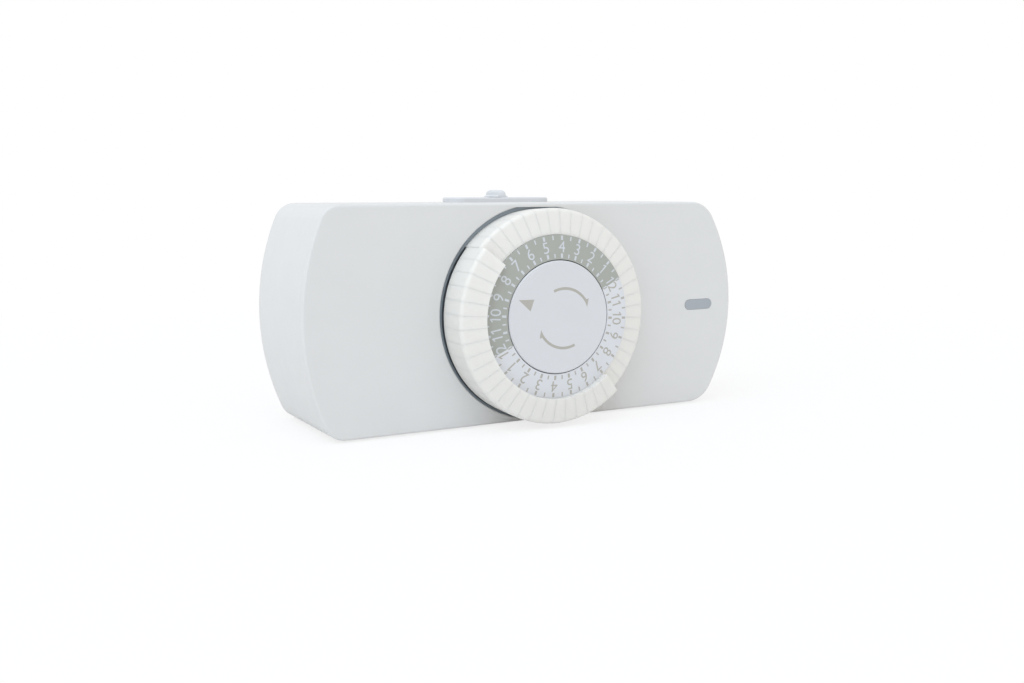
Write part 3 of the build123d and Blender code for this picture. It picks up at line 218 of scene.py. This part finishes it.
class Finish:
    """A material and the few kinds of node that the finishes here are made of."""

    def __init__(self, name):
        self.material = bpy.data.materials.new(name)
        self.material.use_nodes = True
        self.nodes = self.material.node_tree.nodes
        self.link = self.material.node_tree.links.new
        self.shader = self.nodes["Principled BSDF"]
        self.place = self.nodes.new("ShaderNodeTexCoord").outputs["Object"]

    def noise(self, size, detail=2.0, stretch=(1, 1, 1)):
        """Noise with blotches of about size metres, longer where stretch is below 1."""
        mapping = self.nodes.new("ShaderNodeMapping")
        mapping.inputs["Scale"].default_value = stretch
        self.link(self.place, mapping.inputs["Vector"])
        made = self.nodes.new("ShaderNodeTexNoise")
        made.inputs["Scale"].default_value = 1 / size
        made.inputs["Detail"].default_value = detail
        self.link(mapping.outputs["Vector"], made.inputs["Vector"])
        return made.outputs["Fac"]

    def ranged(self, value, low, high, out_low, out_high):
        """value, with low to high spread over out_low to out_high and clamped there."""
        made = self.nodes.new("ShaderNodeMapRange")
        made.inputs["From Min"].default_value = low
        made.inputs["From Max"].default_value = high
        made.inputs["To Min"].default_value = out_low
        made.inputs["To Max"].default_value = out_high
        self.link(value, made.inputs["Value"])
        return made.outputs["Result"]

    def mix(self, factor, first, second):
        """first where factor is 0 and second where it is 1; each is a colour or a socket."""
        made = self.nodes.new("ShaderNodeMix")
        made.data_type = "RGBA"
        self.link(factor, made.inputs[MIX_FACTOR])
        for source, index in zip((first, second), MIX_COLOURS):
            if isinstance(source, tuple):
                made.inputs[index].default_value = source
            else:
                self.link(source, made.inputs[index])
        return made.outputs[MIX_RESULT]

    def relief(self, height, depth):
        """A bump of about depth metres."""
        made = self.nodes.new("ShaderNodeBump")
        made.inputs["Distance"].default_value = depth
        self.link(height, made.inputs["Height"])
        return made.outputs["Normal"]

    def edges(self, radius):
        """1 on sharp edges, which are lightened as wear and painted highlight, 0 on open faces."""
        bevel = self.nodes.new("ShaderNodeBevel")
        bevel.samples = EDGE_SAMPLES
        bevel.inputs["Radius"].default_value = radius
        normal = self.nodes.new("ShaderNodeNewGeometry").outputs["Normal"]
        dot = self.nodes.new("ShaderNodeVectorMath")
        dot.operation = "DOT_PRODUCT"
        self.link(bevel.outputs["Normal"], dot.inputs[0])
        self.link(normal, dot.inputs[1])
        return self.ranged(dot.outputs["Value"], *EDGE_SPAN, 1, 0)

    def to(self, name, source):
        """Links source to the shader's socket of that name."""
        self.link(source, self.shader.inputs[name])


def moulded(name, colour, roughness=0.5, mottle=0.012, grain=0.00025, depth=0.000003,
            worn=False):
    """Moulded plastic: a fine spark-eroded grain, slow flow mottling and uneven gloss."""
    finish = Finish(name)
    base = linear(*colour)
    flow = finish.ranged(finish.noise(FLOW_SIZE, detail=4), *NOISE_SPAN, 0, 1)
    paint = finish.mix(flow, shaded(base, 1 - mottle), shaded(base, 1 + mottle))
    specks = finish.ranged(finish.noise(SPECK_SIZE, detail=1), *SPECK_SPAN, 0, SPECK_SHARE)
    paint = finish.mix(specks, paint, shaded(base, 1 - SPECK_MOTTLES * mottle))
    gloss = finish.ranged(finish.noise(GLOSS_SIZE, detail=3), *NOISE_SPAN,
                          roughness - GLOSS_SPREAD[0], roughness + GLOSS_SPREAD[1])
    # Lighter sharp edges: partly wear, partly a painted highlight
    if worn:
        edges = finish.ranged(finish.edges(WEAR_AND_HIGHLIGHT_EDGE), 0, 1, 0, WEAR_AND_HIGHLIGHT_SHARE)
        paint = finish.mix(edges, paint, shaded(base, WEAR_AND_HIGHLIGHT_LIGHTER))
    finish.to("Base Color", paint)
    finish.to("Roughness", gloss)
    finish.to("Normal", finish.relief(finish.noise(grain), depth))
    return finish


def metal(name, colour, tarnish, roughness=0.32, stretch=(1, 1, 1), streak=0.0006,
          depth=0.000004):
    """Drawn, stamped or turned metal: tool streaks, patchy tarnish and brighter edges, partly rubbed
    wear and partly painted highlight.
    """
    finish = Finish(name)
    patches = finish.ranged(finish.noise(TARNISH_SIZE, detail=5), *TARNISH_SPAN, 0, 1)
    streaks = finish.noise(streak, detail=3, stretch=stretch)
    paint = finish.mix(patches, linear(*colour), linear(*tarnish))
    drawn = finish.ranged(streaks, *STREAK_SPAN, 0, STREAK_SHARE)
    paint = finish.mix(drawn, paint, shaded(linear(*tarnish), STREAK_DARK))
    # Brighter edges: partly rubbed wear, partly a painted highlight
    paint = finish.mix(finish.edges(RUBBED_AND_HIGHLIT_EDGE), paint, shaded(linear(*colour), RUBBED_AND_HIGHLIT_LIGHTER))
    finish.to("Base Color", paint)
    finish.shader.inputs["Metallic"].default_value = 1
    finish.to("Roughness", finish.ranged(streaks, *NOISE_SPAN, roughness - STREAK_GLOSS_SPREAD[0],
                                         roughness + STREAK_GLOSS_SPREAD[1]))
    finish.to("Normal", finish.relief(streaks, depth))
    return finish


def printed_scale():
    """The numbered ring: one half is printed grey, and the other has the plastic's pale tone."""
    finish = moulded("scale_print", (216, 217, 220), 0.5)
    pale = finish.shader.inputs["Base Color"].links[0].from_socket
    grey = linear(166, 167, 159)
    inked = finish.mix(finish.noise(PRINT_PATCH, detail=3), shaded(grey, 1 - PRINT_SPREAD),
                       shaded(grey, 1 + PRINT_SPREAD))
    side = finish.nodes.new("ShaderNodeVectorMath")
    side.operation = "DOT_PRODUCT"
    side.inputs[1].default_value = across_dark_half()
    finish.link(finish.place, side.inputs[0])
    half = finish.nodes.new("ShaderNodeMath")
    half.operation = "GREATER_THAN"
    half.inputs[1].default_value = 0
    finish.link(side.outputs["Value"], half.inputs[0])
    finish.to("Base Color", finish.mix(half.outputs[0], pale, inked))
    return finish


def ink(name, colour):
    """Pad-printed ink: matt, with slightly uneven cover."""
    finish = Finish(name)
    base = linear(*colour)
    paint = finish.mix(finish.noise(INK_PATCH, detail=3), shaded(base, 1 - INK_SPREAD),
                       shaded(base, 1 + INK_SPREAD))
    finish.to("Base Color", paint)
    finish.to("Roughness", finish.ranged(finish.noise(INK_GLOSS_SIZE), *NOISE_SPAN, *INK_GLOSS))
    finish.to("Normal", finish.relief(finish.noise(INK_GRAIN), INK_DEPTH))
    return finish


def lens():
    """The lamp's window: tinted clear plastic, polished in front."""
    finish = moulded("lens", (161, 166, 171), roughness=0.22, mottle=0.02, grain=0.0011,
                     depth=0.000004)
    finish.shader.inputs["IOR"].default_value = 1.49
    finish.shader.inputs["Coat Weight"].default_value = 0.25
    finish.shader.inputs["Coat Roughness"].default_value = 0.08
    return finish


def lamp():
    """The lamp's clear red bulb."""
    finish = moulded("led", (205, 60, 48), roughness=0.14, mottle=0.04, grain=0.0008,
                     depth=0.000002)
    finish.shader.inputs["Transmission Weight"].default_value = 0.35
    finish.shader.inputs["Coat Weight"].default_value = 0.5
    return finish


def translucent(finish):
    """Thin white mouldings let light through their edges, so the gaps between them stay pale."""
    finish.shader.inputs["Subsurface Weight"].default_value = SUBSURFACE
    finish.shader.inputs["Subsurface Radius"].default_value = SUBSURFACE_TINT
    finish.shader.inputs["Subsurface Scale"].default_value = SUBSURFACE_DEPTH
    return finish


def across_dark_half():
    """The direction square to the line between the scale's halves, into the dark one."""
    angle = math.radians(DARK_HALF_START)
    return (-math.sin(angle), 0, math.cos(angle))


FINISHES = {
    "housing": moulded("housing", (217, 216, 214), 0.5, 0.008),
    "back_plate": moulded("back_plate", (214, 213, 211), 0.52, 0.01),
    "switch_plate": moulded("switch_plate", (213, 214, 216), 0.46, 0.008),
    "knob_plastic": moulded("knob_plastic", (214, 216, 218), 0.42, 0.01),
    "tab_plastic": translucent(moulded("tab_plastic", (230, 227, 221), 0.44, 0.006)),
    "cap_plastic": moulded("cap_plastic", (213, 213, 215), 0.5, 0.008),
    # This grey also colours the well ledge, where it is partly painted shade
    "carrier_grey": moulded("carrier_grey", (144, 154, 162), 0.5, 0.02),
    "outlet_plastic": moulded("outlet_plastic", (205, 207, 206), 0.45, 0.012),
    "scale_print": printed_scale(),
    "lens": lens(),
    "led": lamp(),
    # These mouldings get lightened edges, partly wear and partly painted highlight
    "mechanism_plastic": moulded("mechanism_plastic", (226, 224, 214), 0.48, 0.02, worn=True),
    "gear_plastic": moulded("gear_plastic", (240, 236, 222), 0.38, 0.02, worn=True),
    "lever_plastic": moulded("lever_plastic", (226, 196, 92), 0.4, 0.03, worn=True),
    "switch_black": moulded("switch_black", (38, 38, 40), 0.42, 0.06, worn=True),
    "plunger_red": moulded("plunger_red", (176, 40, 34), 0.38, 0.04, worn=True),
    "screw_steel": metal("screw_steel", (196, 199, 204), (158, 160, 158), 0.3, streak=0.0004),
    "axle_steel": metal("axle_steel", (205, 207, 210), (176, 178, 180), 0.22, (1, 0.1, 1)),
    "spring_steel": metal("spring_steel", (168, 170, 174), (128, 126, 122), 0.3, (0.1, 1, 1)),
    "motor_steel": metal("motor_steel", (190, 193, 196), (174, 176, 176), 0.36, (1, 0.08, 1)),
    "plug_brass": metal("plug_brass", (222, 196, 134), (206, 176, 112), 0.26, (1, 0.08, 1)),
    "bus_brass": metal("bus_brass", (212, 182, 114), (190, 156, 92), 0.34, (0.08, 1, 1)),
}
PALE_INK = ink("pale_ink", (203, 206, 210))
WARM_INK = ink("warm_ink", (177, 173, 164))


def camera():
    """The camera at the photograph's place, looking right and slightly down."""
    forward = Vector((math.sin(CAMERA_YAW) * math.cos(CAMERA_PITCH),
                      math.cos(CAMERA_YAW) * math.cos(CAMERA_PITCH), -math.sin(CAMERA_PITCH)))
    right = Vector((math.cos(CAMERA_YAW), -math.sin(CAMERA_YAW), 0))
    up = right.cross(forward)
    turned_right = right * math.cos(CAMERA_ROLL) + up * math.sin(CAMERA_ROLL)
    turned_up = up * math.cos(CAMERA_ROLL) - right * math.sin(CAMERA_ROLL)
    data = bpy.data.cameras.new("camera")
    data.lens = CAMERA_LENS
    data.sensor_width = SENSOR_WIDTH
    data.clip_start, data.clip_end = CAMERA_CLIP
    made = linked("camera", data)
    turn = Matrix((turned_right, turned_up, -forward)).transposed().to_4x4()
    made.matrix_world = Matrix.Translation(CAMERA_PLACE) @ turn
    bpy.context.scene.camera = made


def linked(name, data):
    """A new object in the scene."""
    made = bpy.data.objects.new(name, data)
    bpy.context.scene.collection.objects.link(made)
    return made


def seen_rays(nodes, link):
    """1 for the rays that see the background itself: from the camera, a reflection or through glass."""
    path = nodes.new("ShaderNodeLightPath")
    seen = path.outputs["Is Camera Ray"]
    for other in ("Is Glossy Ray", "Is Transmission Ray"):
        either = nodes.new("ShaderNodeMath")
        either.operation = "MAXIMUM"
        link(seen, either.inputs[0])
        link(path.outputs[other], either.inputs[1])
        seen = either.outputs[0]
    return seen


def studio():
    """A white surround, the soft light from it, and one large soft lamp at the upper left."""
    world = bpy.data.worlds.new("studio")
    bpy.context.scene.world = world
    world.use_nodes = True
    nodes = world.node_tree.nodes
    link = world.node_tree.links.new
    level = nodes.new("ShaderNodeMix")
    level.data_type = "RGBA"
    link(seen_rays(nodes, link), level.inputs[MIX_FACTOR])
    for index, colour in zip(MIX_COLOURS, (AMBIENT, WHITE)):
        level.inputs[index].default_value = colour
    link(level.outputs[MIX_RESULT], nodes["Background"].inputs["Color"])

    data = bpy.data.lights.new("key", "AREA")
    data.shape = "DISK"
    data.size = KEY_SIZE
    data.energy = KEY_POWER
    data.color = KEY_TINT
    key = linked("key", data)
    key.location = KEY_PLACE
    key.rotation_euler = (-Vector(KEY_PLACE)).to_track_quat("-Z", "Y").to_euler()


def floor():
    """A pale floor that keeps a soft shadow near the part, and fades to white further out."""
    finish = Finish("floor")
    finish.to("Base Color", finish.mix(finish.noise(FLOOR_PATCH, detail=3), *FLOOR_COLOURS))
    finish.shader.inputs["Roughness"].default_value = 0.8
    finish.shader.inputs["Specular IOR Level"].default_value = 0.1
    white = finish.nodes.new("ShaderNodeEmission")
    distance = finish.nodes.new("ShaderNodeVectorMath")
    distance.operation = "LENGTH"
    finish.link(finish.place, distance.inputs[0])
    shadow = finish.ranged(distance.outputs["Value"], *SHADOW_REACH, SHADOW_SHARE, 0)
    share = finish.nodes.new("ShaderNodeMath")
    share.operation = "SUBTRACT"
    finish.link(seen_rays(finish.nodes, finish.link), share.inputs[0])
    finish.link(shadow, share.inputs[1])
    both = finish.nodes.new("ShaderNodeMixShader")
    finish.link(share.outputs[0], both.inputs[0])
    finish.link(finish.shader.outputs[0], both.inputs[1])
    finish.link(white.outputs[0], both.inputs[2])
    finish.link(both.outputs[0], finish.nodes["Material Output"].inputs["Surface"])

    mesh = bpy.data.meshes.new("floor")
    corners = [(x * FLOOR_REACH, y * FLOOR_REACH, cad_low[2])
               for x, y in ((-1, -1), (1, -1), (1, 1), (-1, 1))]
    mesh.from_pydata(corners, [], [(0, 1, 2, 3)])
    mesh.materials.append(finish.material)
    linked("floor", mesh)


def finish_nodes():
    """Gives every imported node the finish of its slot, and the knob a moulding's soft edges."""
    slots = {part["node"]: part["material_slot"] for part in frame["record"]["subparts"]}
    for name, node in frame["nodes"].items():
        for holder in node.material_slots:
            holder.material = FINISHES[slots[name]].material
        if slots[name] == "knob_plastic":
            soften(node, KNOB_ROUNDING)


def soften(piece, width):
    """Rounds sharp edges by width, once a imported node's split vertices are joined."""
    weld = piece.modifiers.new("weld", "WELD")
    weld.merge_threshold = WELD_DISTANCE
    bevel = piece.modifiers.new("rounding", "BEVEL")
    bevel.width = width
    bevel.segments = ROUNDING_STEPS
    bevel.limit_method = "ANGLE"
    bevel.angle_limit = math.radians(EDGE_ANGLE)
    piece.modifiers.new("normals", "WEIGHTED_NORMAL")


def tab_outline():
    """A tab's section, as radius and depth: a sloping front, a round outer edge and a skirt."""
    slope = math.radians(TAB_FRONT_SLOPE)
    middle_radius = TAB_FRONT_RADIUS - TAB_EDGE_RADIUS
    middle_depth = ((middle_radius - TAB_INNER_RADIUS) * math.tan(slope)
                    + TAB_EDGE_RADIUS / math.cos(slope))
    outline = [(TAB_INNER_RADIUS, 0)]
    for step in range(TAB_EDGE_STEPS + 1):
        turn = slope + (math.pi / 2 - slope) * step / TAB_EDGE_STEPS
        outline.append((middle_radius + TAB_EDGE_RADIUS * math.sin(turn),
                        middle_depth - TAB_EDGE_RADIUS * math.cos(turn)))
    return outline + [(TAB_REAR_RADIUS, TAB_LENGTH), (TAB_SKIRT_RADIUS, TAB_LENGTH),
                      (TAB_SKIRT_RADIUS, TAB_CAP_DEPTH), (TAB_INNER_RADIUS, TAB_CAP_DEPTH)]


def swept(mesh, columns, closed=False):
    """Joins columns of points with quads, and caps an open sweep with its first and last column."""
    rows = [[mesh.verts.new(point) for point in column] for column in columns]
    pairs = list(zip(rows, rows[1:]))
    if closed:
        pairs.append((rows[-1], rows[0]))
    for near, far in pairs:
        for i, vertex in enumerate(near):
            j = (i + 1) % len(near)
            mesh.faces.new((vertex, near[j], far[j], far[i]))
    if not closed:
        mesh.faces.new(rows[0])
        mesh.faces.new(list(reversed(rows[-1])))


def tab(mesh, angle, front_y):
    """One tab with its foot, with its middle at angle."""
    columns = []
    for step in range(TAB_STEPS + 1):
        share = 2 * step / TAB_STEPS - 1
        column = []
        for radius, depth in tab_outline():
            half_width = math.radians(TAB_ANGLE / 2) - TAB_GAP / 2 / radius
            x, z = around(radius, angle + share * math.degrees(half_width))
            column.append((x, front_y + depth, z))
        columns.append(column)
    swept(mesh, columns)
    along = Vector(around(1, angle))
    across = Vector(around(FOOT_WIDTH / 2, angle + 90))
    foot = []
    for side in (-across, across):
        column = []
        for i, j in ((0, 0), (1, 0), (1, 1), (0, 1)):
            x, z = along * FOOT_RADII[i] + side
            column.append((x, front_y + FOOT_DEPTHS[j], z))
        foot.append(column)
    swept(mesh, foot)


def dial_tabs():
    """Each node's tabs again, where their solids are, with the photograph's gaps and sloping fronts.

    A node holds both tabs of its hour, or the one that its name ends with.
    """
    for name in frame["nodes"]:
        if not name.startswith("tabs_hour_"):
            continue
        hour, *which = name.removeprefix("tabs_hour_").split("_")
        first = FIRST_LABEL_ANGLE + (int(hour) - int(LABELS[0])) * HOUR_ANGLE + TAB_ANGLE / 2
        both = [first, first + TAB_ANGLE]
        angles = {"first": both[:1], "second": both[1:]}
        front_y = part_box(name)[0][1]
        mesh = bmesh.new()
        for angle in angles.get("".join(which), both):
            tab(mesh, angle, front_y)
        made = finished("dial_" + name, mesh, FINISHES["tab_plastic"],
                        name.removeprefix("tabs_"))
        soften(made, TAB_ROUNDING)
        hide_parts(name)


def well_ledge():
    """The grey ledge that shows in the gap round the tabs; its grey is partly painted shade of that
    narrow gap.
    """
    mesh = bmesh.new()
    columns = []
    for step in range(LEDGE_STEPS):
        x, z = around(WELL_RADIUS, 360 * step / LEDGE_STEPS)
        z = min(max(z + WELL_CENTRE_Z, WELL_FLATS_Z[0]), WELL_FLATS_Z[1])
        inner_x, inner_z = around(LEDGE_INNER_RADIUS, math.degrees(math.atan2(z, x)))
        columns.append([(x, LEDGE_DEPTHS[0], z), (x, LEDGE_DEPTHS[1], z),
                        (inner_x, LEDGE_DEPTHS[1], inner_z), (inner_x, LEDGE_DEPTHS[0], inner_z)])
    swept(mesh, columns, closed=True)
    finished("well_ledge", mesh, FINISHES["carrier_grey"], "case")


def around(radius, angle):
    """The point at that radius and angle from the dial's axis."""
    turn = math.radians(angle)
    return (radius * math.cos(turn), radius * math.sin(turn))


def slab(mesh, corners, front_y):
    """A thin closed piece of print on the face at front_y, with corners as x and z."""
    rings = []
    for y in (front_y - PRINT_PROUD, front_y + PRINT_SUNK):
        rings.append([mesh.verts.new((x, y, z)) for x, z in corners])
    front, back = rings
    mesh.faces.new(front)
    mesh.faces.new(list(reversed(back)))
    for i, vertex in enumerate(front):
        j = (i + 1) % len(front)
        mesh.faces.new((front[j], vertex, back[i], back[j]))


def finished(name, mesh, finish, body):
    """Makes an object of the mesh, with its material, body and slot."""
    bmesh.ops.recalc_face_normals(mesh, faces=mesh.faces[:])
    data = bpy.data.meshes.new(name)
    mesh.to_mesh(data)
    mesh.free()
    data.materials.append(finish.material)
    made = linked(name, data)
    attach(made, body)
    return made


def digit(symbol):
    """One digit's mesh, flat on the XY plane and of full height, with its middle at the origin."""
    curve = bpy.data.curves.new("digit", "FONT")
    curve.body = symbol
    curve.extrude = 1
    curve.resolution_u = DIGIT_CURVE_STEPS
    holder = bpy.data.objects.new("digit", curve)
    mesh = bpy.data.meshes.new_from_object(holder)
    bpy.data.objects.remove(holder)
    bpy.data.curves.remove(curve)
    wide = [vertex.co.x for vertex in mesh.vertices]
    tall = [vertex.co.y for vertex in mesh.vertices]
    middle = Vector(((min(wide) + max(wide)) / 2, (min(tall) + max(tall)) / 2, 0))
    size = DIGIT_HEIGHT / (max(tall) - min(tall))
    thickness = (PRINT_PROUD + PRINT_SUNK) / 2
    mesh.transform(Matrix.Diagonal((size, size, thickness, 1)) @ Matrix.Translation(-middle))
    return mesh


def in_dark_half(place):
    """Whether a place on the ring is on its grey half."""
    return Vector(place).dot(Vector(across_dark_half())) > 0


def scale_print():
    """Numerals and ticks: pale on the dark half, warm grey on the light half."""
    meshes = {True: bmesh.new(), False: bmesh.new()}
    for hour in range(HOURS):
        angle = FIRST_LABEL_ANGLE + hour * HOUR_ANGLE
        label(meshes, LABELS[hour % len(LABELS)], angle)
        for limits in (OUTER_TICKS, INNER_HOUR_TICKS):
            tick(meshes, limits, angle, HOUR_TICK_WIDTH)
        for limits in (OUTER_TICKS, INNER_HALF_TICKS):
            tick(meshes, limits, angle + HOUR_ANGLE / 2, HALF_TICK_WIDTH)
    for mesh in meshes.values():
        for vertex in mesh.verts:
            vertex.co.y += set_back(math.hypot(vertex.co.x, vertex.co.z))
    finished("scale_marks_pale", meshes[True], PALE_INK, "dial")
    finished("scale_marks_warm", meshes[False], WARM_INK, "dial")


def tick(meshes, limits, angle, width):
    """A radial tick as two half-wide strips, since the line between the halves splits some."""
    along = Vector(around(1, angle))
    across = Vector(around(width / 2, angle + 90))
    for side in (across, -across):
        inner, outer = along * limits[0], along * limits[1]
        middle = (inner + outer + side) / 2
        slab(meshes[in_dark_half((middle.x, 0, middle.y))],
             [inner, outer, outer + side, inner + side], SCALE_FRONT_Y)


def label(meshes, text, angle):
    """A number that reads with its top outward."""
    x, z = around(1, angle)
    up = Vector((x, 0, z))
    right = Vector((z, 0, -x))
    y = SCALE_FRONT_Y + (PRINT_SUNK - PRINT_PROUD) / 2
    for i, symbol in enumerate(text):
        shift = (i - (len(text) - 1) / 2) * DIGIT_PITCH
        place = up * LABEL_RADIUS + right * shift
        if symbol == "1":
            points = [place + (right * px + up * py) * DIGIT_HEIGHT for px, py in ONE]
            slab(meshes[in_dark_half(place)], [(point.x, point.z) for point in points],
                 SCALE_FRONT_Y)
            continue
        turn = Matrix((right, up, Vector((0, -1, 0)))).transposed().to_4x4()
        mesh = digit(symbol)
        mesh.transform(Matrix.Translation(place + Vector((0, y, 0))) @ turn)
        meshes[in_dark_half(place)].from_mesh(mesh)
        bpy.data.meshes.remove(mesh)


def set_back(radius):
    """How far the numbered ring's face lies behind its inner edge."""
    return (radius - SCALE_RADII[0]) * math.tan(math.radians(SCALE_SLOPE))


def numbered_ring():
    """The ring that carries the numerals, with its sloping face."""
    inner, outer = SCALE_RADII
    outline = [(inner, 0), (outer, set_back(outer)), (outer, SCALE_THICKNESS), (inner, SCALE_THICKNESS)]
    mesh = bmesh.new()
    columns = []
    for step in range(SCALE_STEPS):
        column = []
        for radius, depth in outline:
            x, z = around(radius, 360 * step / SCALE_STEPS)
            column.append((x, SCALE_FRONT_Y + depth, z))
        columns.append(column)
    swept(mesh, columns, closed=True)
    made = finished("numbered_ring", mesh, FINISHES["scale_print"], "dial")
    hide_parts("scale_ring")


def cap_print():
    """The pointer, and the two arrows that show which way the dial turns."""
    mesh = bmesh.new()
    slab(mesh, POINTER, CAP_FRONT_Y)
    inner = ARROW_RADIUS - ARROW_WIDTH / 2
    outer = ARROW_RADIUS + ARROW_WIDTH / 2
    tip = (ARROW_TIP - ARROW_START) / ARROW_STEPS
    barb = (ARROW_BARB - ARROW_START) / ARROW_STEPS
    outline = [around(outer, ARROW_START + barb * i) for i in range(ARROW_STEPS + 1)]
    outline.append(around(outer + ARROW_BARB_OUT, ARROW_BARB - ARROW_BARB_LEAN))
    outline += [around(inner, ARROW_TIP - tip * i) for i in range(ARROW_STEPS + 1)]
    for half_turn in (1, -1):
        slab(mesh, [(ARROW_CENTRE[0] + half_turn * x, ARROW_CENTRE[1] + half_turn * z)
                    for x, z in outline], CAP_FRONT_Y)
    finished("cap_marks", mesh, WARM_INK, "case")


camera()
studio()
floor()
finish_nodes()
dial_tabs()
well_ledge()
numbered_ring()
scale_print()
cap_print()
bpy.context.scene.view_settings.view_transform = "Standard"
